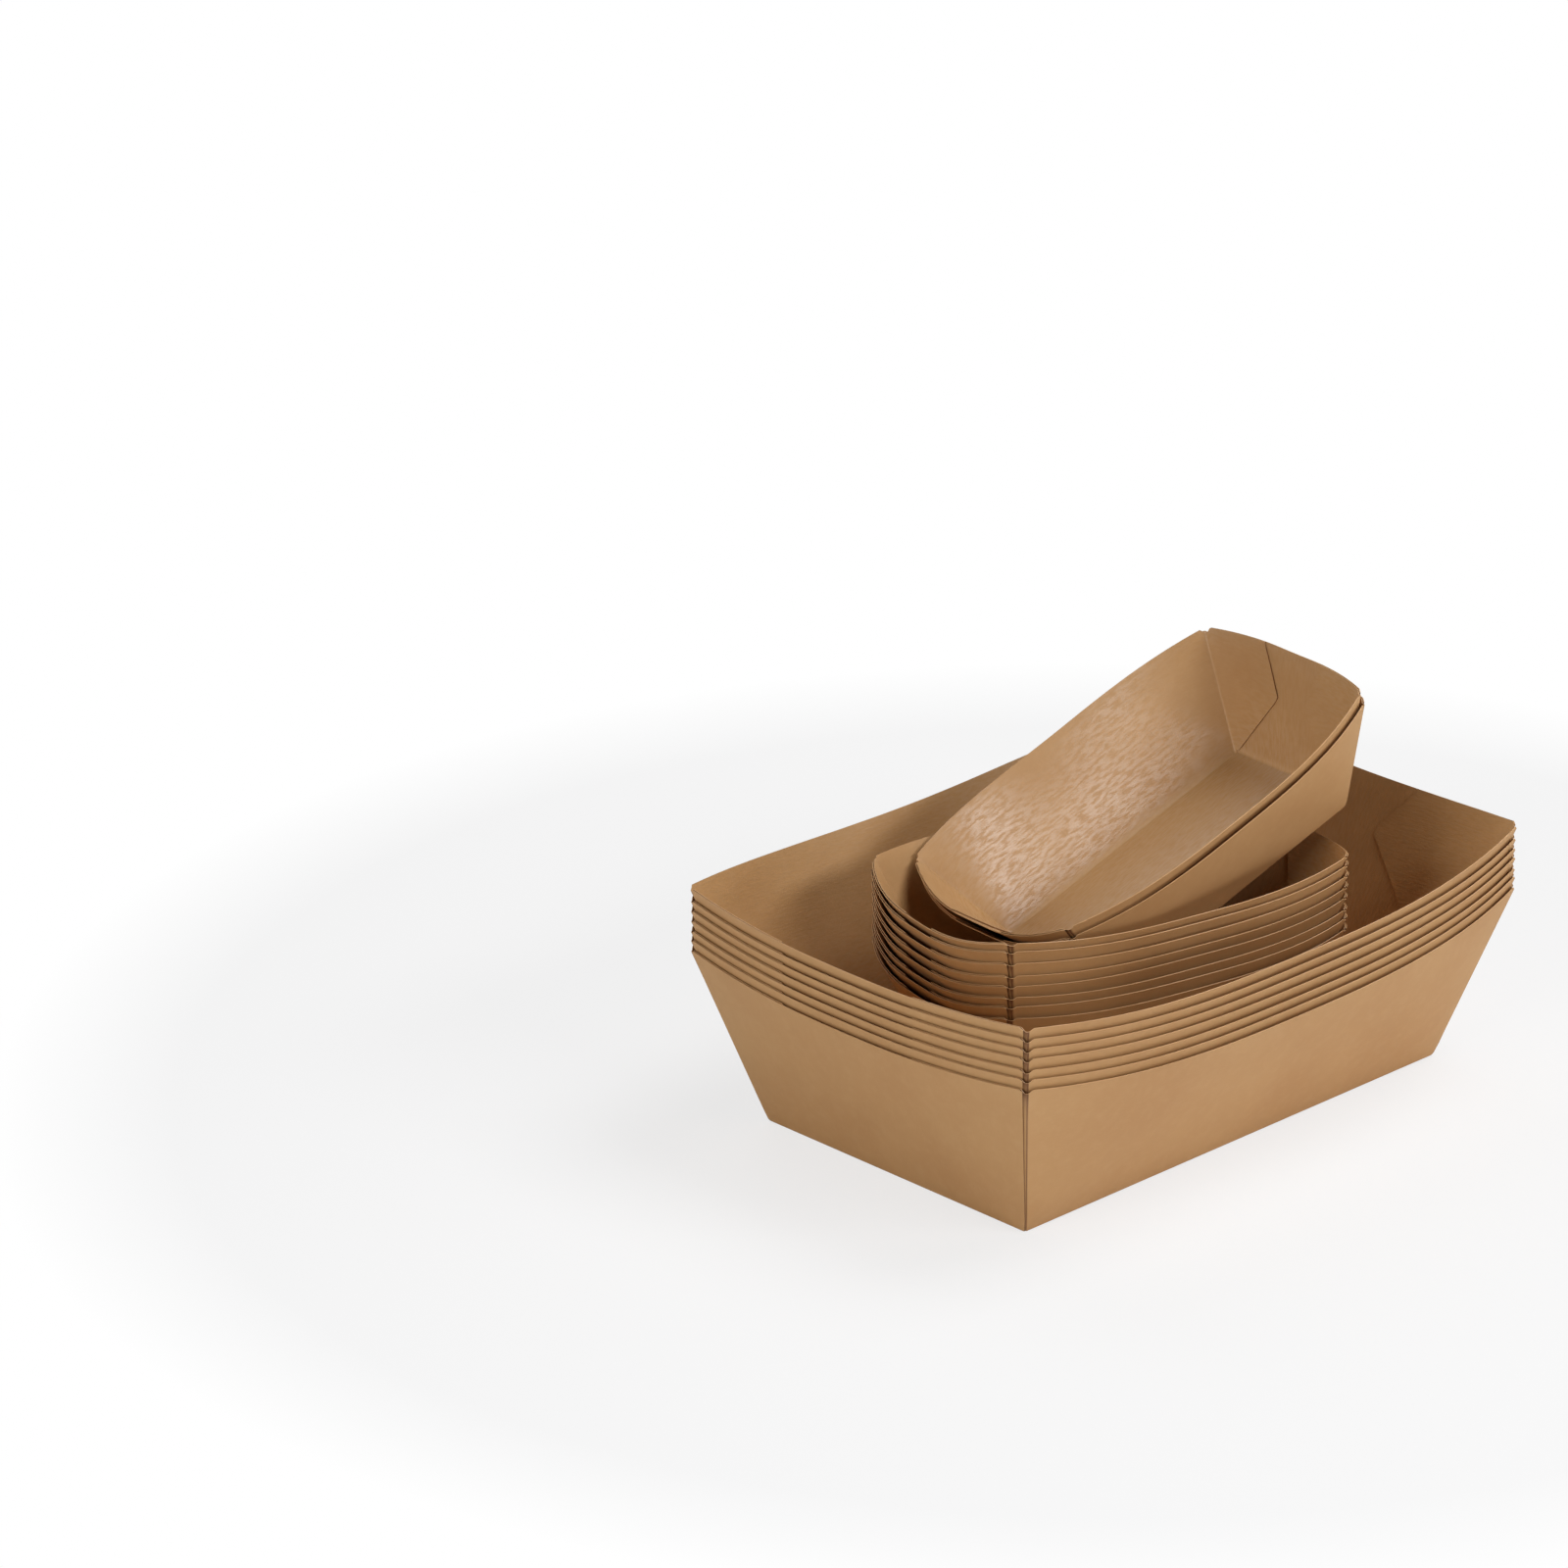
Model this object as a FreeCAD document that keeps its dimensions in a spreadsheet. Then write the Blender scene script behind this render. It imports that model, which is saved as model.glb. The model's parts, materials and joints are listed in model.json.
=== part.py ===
import FreeCAD, Part
import math
import os

# A stack of folded paperboard trays, in millimetres: large trays nested in each other, a nest of
# small trays standing inside the top one, and two small trays lying aslant on that nest.
# X runs along the large trays, Y across them, Z up; the origin is the middle of the lowest base.
# Each tray is one folded sheet: a base, two long walls, two end walls, and at every corner a flap
# that turns in from the long wall and is glued to the inside of the end wall.

Vector = FreeCAD.Vector

LARGE_COUNT = 7
SMALL_COUNT = 8
TILTED_COUNT = 2

# The driving dimensions. Lengths are in millimetres and turns in degrees.
SIZES = {
    "large_board": 0.4,
    "large_rim_length": 215.0,
    "large_rim_width": 142.5,
    "large_base_length": 179.7,
    "large_base_width": 108.7,
    "large_height": 58.0,
    "large_end_bow": 3.6,
    "large_end_dip": 3.9,
    "large_side_bow": 9.8,
    "large_side_dip": 6.9,
    "large_flap_reach": 51.5,
    "large_flap_rise": 38.5,
    "large_flap_top": 41.0,
    "large_notch": 2.4,
    "large_slit": 1.5,
    "large_clearance": 0.16,
    "large_wobble": 0.14,
    "small_board": 0.45,
    "small_rim_length": 123.3,
    "small_rim_width": 76.3,
    "small_base_length": 97.1,
    "small_base_width": 51.7,
    "small_height": 35.9,
    "small_end_bow": 8.3,
    "small_end_dip": 5.4,
    "small_side_bow": 8.5,
    "small_side_dip": 2.1,
    "small_flap_reach": 30.6,
    "small_flap_rise": 22.6,
    "small_flap_top": 28.2,
    "small_notch": 2.0,
    "small_slit": 1.2,
    "small_clearance": 0.3,
    "small_wobble": 0.2,
    "nest_shift_along": -3.1,
    "nest_shift_across": -4.5,
    "nest_turn": -12.0,
    "tilt_along": 28.2,
    "tilt_across": 3.75,
    "tilt_turn": 5.0,
    "tilt_lift": 22.8,
    "tilt_roll": -3.4,
    "seat": 0.2,
}

# The middle of each rim is flat over this share of the rim, and the board bends beside it.
FLAT_SHARE = 0.16
# The bend beside it is laid in this many narrow flats.
FAN_FLATS = 4
# Board that is still to be trimmed at the rim, and the tools that trim it, reach this much past it.
MARGIN = 1.15
# The flaps are laid into the end walls by half a board: at most this share of what is joined.
GLUED_SHARE = 0.1
# The turn from one tray's lift to the next, so that no two gaps in a nest look alike.
WOBBLE_STEP = 137.5

doc = FreeCAD.newDocument("tray_stack")
sheet = doc.addObject("Spreadsheet::Sheet", "Sizes")
for row, (alias, value) in enumerate(SIZES.items(), 1):
    sheet.set(f"A{row}", alias)
    sheet.set(f"B{row}", str(value))
    sheet.setAlias(f"B{row}", alias)
doc.recompute()


def size(alias):
    """A driving dimension, read from the sheet."""
    return float(sheet.get(alias))


def feature(kind, name, **expressions):
    """A document object with its sizes bound to the sheet."""
    made = doc.addObject(kind, name)
    for prop, text in expressions.items():
        made.setExpression(prop.replace("__", "."), text)
    return made


def solid_feature(name, shape):
    """A document object for a form that Part's own functions make."""
    made = doc.addObject("Part::Feature", name)
    made.Shape = shape
    return made


def square_to(axis, direction):
    """The part of a direction that is square to an axis."""
    return direction - axis * direction.dot(axis)


def across(points):
    """The same points on the other side of the XZ plane, in the other order."""
    return [Vector(point.x, -point.y, point.z) for point in reversed(points)]


def bent_wall(foot, corner, crown, near, far):
    """One bowed wall between two depths under its outer skin, its outside facing +X.

    The board is folded along a straight crease and stands out at the middle of its rim. Board
    only bends one way, so it does this as a flat panel on the crease with a cone on each side.
    Each cone has its point at the foot of a corner, passes through that corner's edge and runs
    smoothly into the panel, and it is laid as a fan of narrow flats. foot, corner and crown are
    the crease's end, the rim's end and the panel's end on the rim, all on the +Y side.
    """
    up_edge = (corner - foot).normalize()
    up_panel = (crown - foot).normalize()
    outward = Vector(0, 1, 0).cross(up_panel).normalize()
    spread = math.atan2(1 - up_edge.dot(up_panel), -up_edge.dot(outward))
    axis = up_panel * math.cos(spread) - outward * math.sin(spread)
    start, end = square_to(axis, up_panel), square_to(axis, up_edge)
    sweep = math.copysign(start.getAngle(end), axis.dot(start.cross(end)))
    reach = MARGIN * max((corner - foot).Length, (crown - foot).Length)

    def skin(depth):
        """The feet and the tops of the fan's lines at one depth, from one corner to the other."""
        point = up_panel * (depth / math.tan(spread)) - outward * depth
        top = up_panel * reach - outward * depth
        turns = [math.degrees(sweep) * step / FAN_FLATS for step in range(FAN_FLATS + 1)]
        tops = [foot + FreeCAD.Rotation(axis, turn).multVec(top) for turn in turns]
        feet = [foot + point] * len(tops)
        return across(feet) + feet, across(tops) + tops

    (outer_feet, outer_tops), (inner_feet, inner_tops) = skin(near), skin(far)
    outlines = [
        [outer_feet[0], outer_tops[0], inner_tops[0], inner_feet[0]],
        [outer_feet[-1], outer_tops[-1], inner_tops[-1], inner_feet[-1]],
        [outer_feet[0], outer_feet[-1], inner_feet[-1], inner_feet[0]],
    ]
    for low, high in zip(range(len(outer_tops)), range(1, len(outer_tops))):
        for feet, tops in ((outer_feet, outer_tops), (inner_feet, inner_tops)):
            flat = [feet[low], tops[low], tops[high]]
            outlines.append(flat if feet[low].isEqual(feet[high], 1e-6) else [*flat, feet[high]])
        outlines.append([outer_tops[low], outer_tops[high], inner_tops[high], inner_tops[low]])
    faces = [Part.Face(Part.makePolygon([*outline, outline[0]])) for outline in outlines]
    return Part.Solid(Part.Shell(faces))


def wall_pair(kind, wall, near, far):
    """The two end walls or the two side walls of a tray, as boards between two depths."""
    length, width = ("length", "width") if wall == "end" else ("width", "length")
    foot_half, rim_half = size(f"{kind}_base_{width}") / 2, size(f"{kind}_rim_{width}") / 2
    foot_out, rim_out = size(f"{kind}_base_{length}") / 2, size(f"{kind}_rim_{length}") / 2
    height = size(f"{kind}_height")
    foot = Vector(foot_out, foot_half, 0)
    corner = Vector(rim_out, rim_half, height)
    crown_out = rim_out + size(f"{kind}_{wall}_bow")
    crown = Vector(crown_out, FLAT_SHARE * rim_half, height - size(f"{kind}_{wall}_dip"))
    board = bent_wall(foot, corner, crown, near, far)
    first_turn = 0 if wall == "end" else 90
    pair = [board.rotated(Vector(), Vector(0, 0, 1), first_turn + turn) for turn in (0, 180)]
    return Part.Compound(pair)


def upright_wedge(name, low, high, half_low, half_high, half_depth):
    """A prism that tapers across Y as it rises, between two heights, given as expressions."""
    made = feature(
        "Part::Wedge",
        name,
        Ymin=low,
        Ymax=high,
        Xmin=f"-({half_low})",
        Xmax=half_low,
        X2min=f"-({half_high})",
        X2max=half_high,
        Zmin=f"-({half_depth})",
        Zmax=half_depth,
        Z2min=f"-({half_depth})",
        Z2max=half_depth,
    )
    made.Placement.Rotation = FreeCAD.Rotation(Vector(1, 1, 1), 120)
    return made


def cut(name, base, tool):
    """What is left of a base after a tool has cut it."""
    made = doc.addObject("Part::Cut", name)
    made.Base = base
    made.Tool = tool
    return made


def joined(name, base, tool):
    """Two boards as one."""
    made = doc.addObject("Part::Fuse", name)
    made.Base = base
    made.Tool = tool
    return made


def rim_cutter(kind, wall):
    """The round cutter whose lowest line is the dipped rim of one pair of walls."""
    span = "width" if wall == "end" else "length"
    half = f"Sizes.{kind}_rim_{span} / 2"
    dip = f"Sizes.{kind}_{wall}_dip"
    radius = f"(({half}) ^ 2 + {dip} ^ 2) / (2 * {dip})"
    made = feature(
        "Part::Cylinder",
        f"{kind}_{wall}_cutter",
        Radius=radius,
        Height=f"Sizes.{kind}_rim_length * 2",
        Placement__Base__z=f"Sizes.{kind}_height - {dip} + {radius}",
    )
    axis = "x" if wall == "end" else "y"
    made.setExpression(f"Placement.Base.{axis}", f"-Sizes.{kind}_rim_length")
    turn = (Vector(0, 1, 0), 90) if wall == "end" else (Vector(1, 0, 0), -90)
    made.Placement.Rotation = FreeCAD.Rotation(*turn)
    return made


def notch_cutters(kind):
    """Two slanted bars that take the points off the long walls' rims, one at each end."""
    notch, half = f"Sizes.{kind}_notch", f"Sizes.{kind}_rim_length / 2"
    bars = []
    for end, (side, turn) in {"front": ("-1", 0), "back": ("1", 180)}.items():
        along = f"{side} * (2 * {notch} - {half})"
        sideways = f"{side} * Sizes.{kind}_rim_width"
        rise = f"Sizes.{kind}_height + {notch}"
        bar = feature(
            "Part::Box",
            f"{kind}_notch_{end}",
            Length=f"4 * {notch}",
            Width=f"2 * Sizes.{kind}_rim_width",
            Height=f"2 * {notch}",
            Placement=f"placement(vector({along}; {sideways}; {rise}); rotation({turn}; 45; 0))",
        )
        bars.append(bar)
    both = doc.addObject("Part::Compound", f"{kind}_notches")
    both.Links = bars
    return both


def folded_tray(kind):
    """One tray of a kind, standing on its base at the origin."""
    board = size(f"{kind}_board")
    base = feature(
        "Part::Box",
        f"{kind}_base",
        Length=f"Sizes.{kind}_base_length",
        Width=f"Sizes.{kind}_base_width",
        Height=f"Sizes.{kind}_board",
        Placement__Base__x=f"-Sizes.{kind}_base_length / 2",
        Placement__Base__y=f"-Sizes.{kind}_base_width / 2",
    )
    side_boards = solid_feature(f"{kind}_side_boards", wall_pair(kind, "side", 0, board))
    side_rims = cut(f"{kind}_side_rims", side_boards, rim_cutter(kind, "side"))
    side_walls = cut(f"{kind}_side_walls", side_rims, notch_cutters(kind))

    # The end walls stop short of the corners by a slit that widens towards the rim.
    reach = f"Sizes.{kind}_rim_length"
    end_outline = upright_wedge(
        f"{kind}_end_outline",
        "0",
        f"Sizes.{kind}_height",
        f"Sizes.{kind}_base_width / 2",
        f"Sizes.{kind}_rim_width / 2 - Sizes.{kind}_slit",
        reach,
    )
    end_boards = solid_feature(f"{kind}_end_boards", wall_pair(kind, "end", 0, board))
    end_cutter = rim_cutter(kind, "end")
    end_walls = doc.addObject("Part::MultiCommon", f"{kind}_end_walls")
    end_walls.Shapes = [cut(f"{kind}_end_rims", end_boards, end_cutter), end_outline]

    # The flaps are a second board inside each end wall, open between their slanted edges.
    rise = f"Sizes.{kind}_flap_rise"
    flare = f"(Sizes.{kind}_rim_width - Sizes.{kind}_base_width) / 2 / Sizes.{kind}_height"
    waist = f"Sizes.{kind}_base_width / 2 + {flare} * {rise} - Sizes.{kind}_flap_reach"
    mouth = f"Sizes.{kind}_rim_width / 2 - Sizes.{kind}_flap_top"
    foot = f"Sizes.{kind}_base_width / 2 - 2 * Sizes.{kind}_board"
    lining = solid_feature(f"{kind}_lining", wall_pair(kind, "end", board / 2, 2 * board))
    lining_rims = cut(f"{kind}_lining_rims", lining, end_cutter)
    lower = upright_wedge(f"{kind}_flap_gap_low", "0", rise, foot, waist, reach)
    upper = upright_wedge(
        f"{kind}_flap_gap_high", rise, f"Sizes.{kind}_height", waist, mouth, reach
    )
    flaps = cut(f"{kind}_flaps", cut(f"{kind}_flap_feet", lining_rims, lower), upper)

    walls = joined(f"{kind}_walls", side_walls, end_walls)
    return joined(f"{kind}_tray", joined(f"{kind}_lined_walls", walls, flaps), base)


def nested_rise(kind, index):
    """How far one tray of a nest stands above the first, where its walls meet the next ones."""
    flare = f"((Sizes.{kind}_rim_length - Sizes.{kind}_base_length) / 2)"
    slope = f"sqrt({flare} ^ 2 + Sizes.{kind}_height ^ 2) / {flare}"
    gap = f"(2 * Sizes.{kind}_board + Sizes.{kind}_clearance) * {slope}"
    return f"{index} * {gap} + Sizes.{kind}_wobble * sin({index * WOBBLE_STEP})"


def placed_tray(name, kind, placement):
    """A tray of a kind in its place in the stack."""
    tray = feature("Part::Compound", name, Placement=placement)
    tray.Links = [masters[kind]]
    tray.Label = name
    return tray


masters = {kind: folded_tray(kind) for kind in ("large", "small")}

pieces = []
for index in range(LARGE_COUNT):
    place = f"placement(vector(0; 0; {nested_rise('large', index)}); rotation(0; 0; 0))"
    pieces.append(placed_tray(f"large_tray_{index + 1}", "large", place))

# The nest of small trays stands on the floor of the top large tray.
nest_floor = f"{nested_rise('large', LARGE_COUNT - 1)} + Sizes.large_board"
for index in range(SMALL_COUNT):
    rise = f"{nest_floor} + {nested_rise('small', index)}"
    spot = f"vector(Sizes.nest_shift_along; Sizes.nest_shift_across; {rise})"
    place = f"placement({spot}; rotation(Sizes.nest_turn; 0; 0))"
    pieces.append(placed_tray(f"small_tray_{index + 1}", "small", place))

# The lower slanting tray has its lowest corner on the floor of the top nested one.
half_length, half_width = "Sizes.small_base_length / 2", "Sizes.small_base_width / 2"
sink = f"{half_length} * sin(Sizes.tilt_lift)"
lean = f"{half_width} * cos(Sizes.tilt_lift) * abs(sin(Sizes.tilt_roll))"
spot = (
    "vector(Sizes.tilt_along; Sizes.tilt_across; "
    f"Sizes.small_board + Sizes.seat + {sink} + {lean})"
)
slant = f"placement({spot}; rotation(Sizes.tilt_turn; -Sizes.tilt_lift; Sizes.tilt_roll))"
for index in range(TILTED_COUNT):
    above = f"placement(vector(0; 0; {nested_rise('small', index)}); rotation(0; 0; 0))"
    place = f"small_tray_{SMALL_COUNT}.Placement * {slant} * {above}"
    pieces.append(placed_tray(f"tilted_tray_{index + 1}", "small", place))

doc.recompute()
for made in doc.Objects:
    assert not {"Invalid", "Error"} & set(made.State), f"{made.Name}: {made.State}"
for piece in pieces:
    assert not piece.Shape.isNull() and piece.Shape.isValid(), f"{piece.Label} is not a sound solid"
    assert len(piece.Shape.Solids) == 1, f"{piece.Label} is not in one piece"
for join in (made for made in doc.Objects if made.TypeId == "Part::Fuse"):
    boards = join.Base.Shape.Volume + join.Tool.Shape.Volume
    assert join.Shape.Volume > (1 - GLUED_SHARE) * boards, f"{join.Name} has lost a wall"

os.makedirs("parts", exist_ok=True)
for piece in pieces:
    piece.Shape.exportStep(f"parts/{piece.Label}.step")
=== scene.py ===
"""Dresses a packed stack of folded kraft board trays and lights it as a studio photograph.

The stack has three nests: large trays in each other, a nest of small trays standing inside the
top large one, and a pair of small trays lying aslant on that nest. The trays' sizes are in
millimetres until a mesh is made, which is in metres, as the studio's sizes are.
"""

import json
import logging
import math
from dataclasses import dataclass, field, replace
from enum import Enum
from typing import Any

import bpy
import numpy as np
from mathutils import Matrix, Vector

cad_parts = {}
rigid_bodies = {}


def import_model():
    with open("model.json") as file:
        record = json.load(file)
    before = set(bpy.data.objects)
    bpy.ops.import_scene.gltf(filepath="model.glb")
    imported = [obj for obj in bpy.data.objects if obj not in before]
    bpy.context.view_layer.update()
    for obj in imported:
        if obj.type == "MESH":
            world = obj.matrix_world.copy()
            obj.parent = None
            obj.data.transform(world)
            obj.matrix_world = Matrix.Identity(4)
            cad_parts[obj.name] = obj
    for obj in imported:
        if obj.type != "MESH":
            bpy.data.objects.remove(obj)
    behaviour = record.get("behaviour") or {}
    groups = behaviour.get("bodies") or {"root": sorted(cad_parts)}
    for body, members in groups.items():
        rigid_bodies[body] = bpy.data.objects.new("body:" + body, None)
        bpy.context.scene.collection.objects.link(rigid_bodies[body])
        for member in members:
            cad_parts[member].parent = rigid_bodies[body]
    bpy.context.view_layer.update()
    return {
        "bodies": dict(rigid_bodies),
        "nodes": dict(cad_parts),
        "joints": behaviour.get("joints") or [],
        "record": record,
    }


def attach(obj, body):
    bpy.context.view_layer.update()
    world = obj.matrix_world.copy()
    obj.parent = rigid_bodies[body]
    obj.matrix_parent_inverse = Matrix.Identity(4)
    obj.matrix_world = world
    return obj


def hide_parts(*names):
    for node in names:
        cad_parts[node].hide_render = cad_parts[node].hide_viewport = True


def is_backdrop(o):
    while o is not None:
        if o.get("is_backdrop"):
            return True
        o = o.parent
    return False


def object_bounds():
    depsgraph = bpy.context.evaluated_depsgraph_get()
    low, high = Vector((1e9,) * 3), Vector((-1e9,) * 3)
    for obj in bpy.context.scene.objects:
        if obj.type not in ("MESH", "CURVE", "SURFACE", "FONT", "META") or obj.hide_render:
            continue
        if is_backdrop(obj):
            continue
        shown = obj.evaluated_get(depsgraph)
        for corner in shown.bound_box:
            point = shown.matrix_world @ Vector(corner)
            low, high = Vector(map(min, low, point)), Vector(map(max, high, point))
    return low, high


LOG = logging.getLogger("tray_stack")
MM = 0.001
BODY = "root"
# Faces that meet at more than this angle are parted by a cut, and at less by a bend.
CUT_ANGLE = math.radians(50)
# How strongly the sides of a corner's fold are marked at the least, which sets painted shade
# outside the fold and a painted highlight inside it. The fold itself is 1.
FOLD_MARK = 0.3
# What stands in for nothing in a division.
LEAST_LENGTH = 1e-9
LEAST_HEIGHT = 1e-6
EVEN = (1.0, 1.0, 1.0)
WHITE = (1.0, 1.0, 1.0, 1.0)

Colour = tuple[float, float, float, float]
Stretch = tuple[float, float, float]


class Side(Enum):
    """Which skin of the board a vertex lies on."""

    OUTER = 0.0
    INNER = 1.0


class Light(Enum):
    """The soft boxes round the stack."""

    KEY = "key_box"
    LOW = "low_box"
    LEFT = "left_box"
    TOP = "top_box"
    BACK = "back_box"


@dataclass(frozen=True)
class Bow:
    """How far a wall stands out at the middle of its rim, and how far the rim dips there."""

    out: float
    dip: float


@dataclass(frozen=True)
class TraySizes:
    """The sizes of one folded tray.

    A flap is flap_top wide at the rim and widest, by flap_reach, at the height flap_rise. The end
    walls stop a slit short of the corners, and far_end is the bow of the one at +X where it has
    its own. The flaps lie under the end walls by lining_share of the board, and the board is
    rim_share of its thickness where the rim was cut.
    """

    board: float
    rim_length: float
    rim_width: float
    base_length: float
    base_width: float
    height: float
    end: Bow
    side: Bow
    flap_reach: float
    flap_rise: float
    flap_top: float
    notch: float
    slit: float
    end_notch: float = 0.45
    far_end: Bow | None = None
    flat_share: float = 0.16
    crease: float = 0.9
    fold: float = 0.7
    rim_share: float = 0.5
    lining_share: float = 1.05
    tuck_share: float = 0.02
    least_flap: float = 0.1


LARGE = TraySizes(
    board=0.4,
    rim_length=215.0,
    rim_width=142.5,
    base_length=179.7,
    base_width=108.7,
    height=58.0,
    end=Bow(3.6, 3.9),
    side=Bow(9.7, 6.9),
    flap_reach=51.5,
    flap_rise=38.5,
    flap_top=41.0,
    notch=2.4,
    slit=1.5,
)
SMALL = TraySizes(
    board=0.45,
    rim_length=123.3,
    rim_width=76.3,
    base_length=97.1,
    base_width=51.7,
    height=35.9,
    end=Bow(8.3, 5.4),
    side=Bow(8.5, 2.1),
    flap_reach=30.6,
    flap_rise=22.6,
    flap_top=28.2,
    notch=2.0,
    slit=1.2,
)
SLANTING = replace(
    SMALL, far_end=Bow(4.5, 1.2), flap_reach=26.5, flap_rise=20.1, flap_top=23.8
)


@dataclass(frozen=True)
class Grid:
    """How finely the sheets are divided, and how their bends are drawn."""

    end_columns: int = 27
    side_columns: int = 43
    flap_columns: int = 8
    base_rows: int = 9
    wall_rows: int = 19
    row_power: float = 0.9
    crease_turn: tuple[float, ...] = (0.34, 0.67)
    fold_turn: tuple[float, ...] = (0.25, 0.5, 0.75)
    crease_pull: float = 0.7
    passes: int = 2
    cone_rays: int = 33
    slope_step: float = 0.05

    def up_shares(self) -> np.ndarray:
        """How far up a wall its rows lie, from 0 to 1 and a little closer towards the rim."""
        return np.linspace(0, 1, self.wall_rows) ** self.row_power


GRID = Grid()


def unit(vector: np.ndarray) -> np.ndarray:
    """A vector, or an array of vectors, at length one."""
    length = np.linalg.norm(vector, axis=-1, keepdims=True)
    return vector / np.maximum(length, LEAST_LENGTH)


def quarter_turn(points: np.ndarray) -> np.ndarray:
    """Points turned a quarter turn about Z, from +X towards +Y."""
    return np.stack([-points[..., 1], points[..., 0], points[..., 2]], axis=-1)


def bezier(start: np.ndarray, corner: np.ndarray, end: np.ndarray, share: float) -> np.ndarray:
    """A point on the curve that rounds a corner off."""
    rest = 1 - share
    return rest * rest * start + 2 * rest * share * corner + share * share * end


def wear_share(up_share: float) -> float:
    """How much of the rim's wear a row takes: all at the rim and little below it."""
    return up_share**3


def columns(count: int, edge: float) -> np.ndarray:
    """Places across a wall from -1 to 1, with one at each end for the notch that starts there.

    Args:
        count: How many places lie between the notches.
        edge: The share of half the wall that a notch takes.

    Returns:
        The places.
    """
    return np.concatenate([[-1.0], np.linspace(edge - 1, 1 - edge, count), [1.0]])


class WallSkin:
    """The outer skin of one bowed wall, as a distance out over its own upright plane.

    The wall is a flat panel on the crease with a circular cone on each side. Each cone has its
    point at the foot of a corner and passes through that corner's edge. X is out, Y is along the
    wall and Z is up.
    """

    def __init__(
        self,
        foot: tuple[float, float],
        rim: tuple[float, float],
        height: float,
        bow: Bow,
        flat: float,
    ) -> None:
        """Works out the cone's slopes.

        Args:
            foot: How far out the crease lies, and half its length.
            rim: How far out the rim's ends lie, and half their distance.
            height: The height of the rim's ends.
            bow: How the rim stands out and dips.
            flat: The share of the rim that the flat panel takes.
        """
        self.foot_out, self.foot_half = foot
        self.rim_out, self.rim_half = rim
        self.height, self.dip = height, bow.dip
        feet = np.array([self.foot_out, self.foot_half, 0.0])
        up_edge = unit(np.array([self.rim_out, self.rim_half, height]) - feet)
        crown = np.array([self.rim_out + bow.out, flat * self.rim_half, height - bow.dip])
        up_panel = unit(crown - feet)
        outward = unit(np.cross([0.0, 1.0, 0.0], up_panel))
        spread = math.atan2(1 - up_edge @ up_panel, -(up_edge @ outward))
        axis = up_panel * math.cos(spread) - outward * math.sin(spread)
        start, end = (v - axis * (v @ axis) for v in (up_panel, up_edge))
        sweep = math.atan2(axis @ np.cross(start, end), start @ end)
        shares = np.linspace(0, 1, GRID.cone_rays)
        rays = np.array([self._turned(up_panel, axis, sweep * share) for share in shares])
        ratio, slope = rays[:, 1] / rays[:, 2], rays[:, 0] / rays[:, 2]
        order = np.argsort(ratio)
        self.ratio, self.slope = ratio[order], slope[order]

    @staticmethod
    def _turned(vector: np.ndarray, axis: np.ndarray, angle: float) -> np.ndarray:
        """A vector turned about a unit axis by an angle in radians."""
        across, along = np.cross(axis, vector), axis * (axis @ vector)
        return vector * math.cos(angle) + across * math.sin(angle) + along * (1 - math.cos(angle))

    def out(self, along: np.ndarray, up: np.ndarray) -> np.ndarray:
        """How far out the skin lies at a place along the wall and up it."""
        ratio = (np.abs(along) - self.foot_half) / np.maximum(up, LEAST_HEIGHT)
        return self.foot_out + up * np.interp(ratio, self.ratio, self.slope)

    def at(self, along: np.ndarray, up: np.ndarray, depth: float) -> np.ndarray:
        """Points on a skin of the board.

        Args:
            along: Places along the wall.
            up: Heights, of the same shape.
            depth: How far under the outer skin the points lie.

        Returns:
            The points, with one more axis of length three.
        """
        step, below = GRID.slope_step, np.maximum(up - GRID.slope_step, 0)
        out = self.out(along, up)
        by_along = (self.out(along + step, up) - self.out(along - step, up)) / (2 * step)
        by_up = (self.out(along, up + step) - self.out(along, below)) / (2 * step)
        normal = unit(np.stack([np.ones_like(out), -by_along, -by_up], axis=-1))
        return np.stack([out, along, up], axis=-1) - depth * normal

    def half(self, up: np.ndarray) -> np.ndarray:
        """Half the wall's width between its corner edges at a height."""
        return self.foot_half + (self.rim_half - self.foot_half) * up / self.height

    def rim(self, along: np.ndarray) -> np.ndarray:
        """The height of the dipped rim."""
        radius = (self.rim_half**2 + self.dip**2) / (2 * self.dip)
        reach = np.minimum(np.abs(along), self.rim_half)
        return self.height - self.dip + radius - np.sqrt(radius**2 - reach**2)


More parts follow.
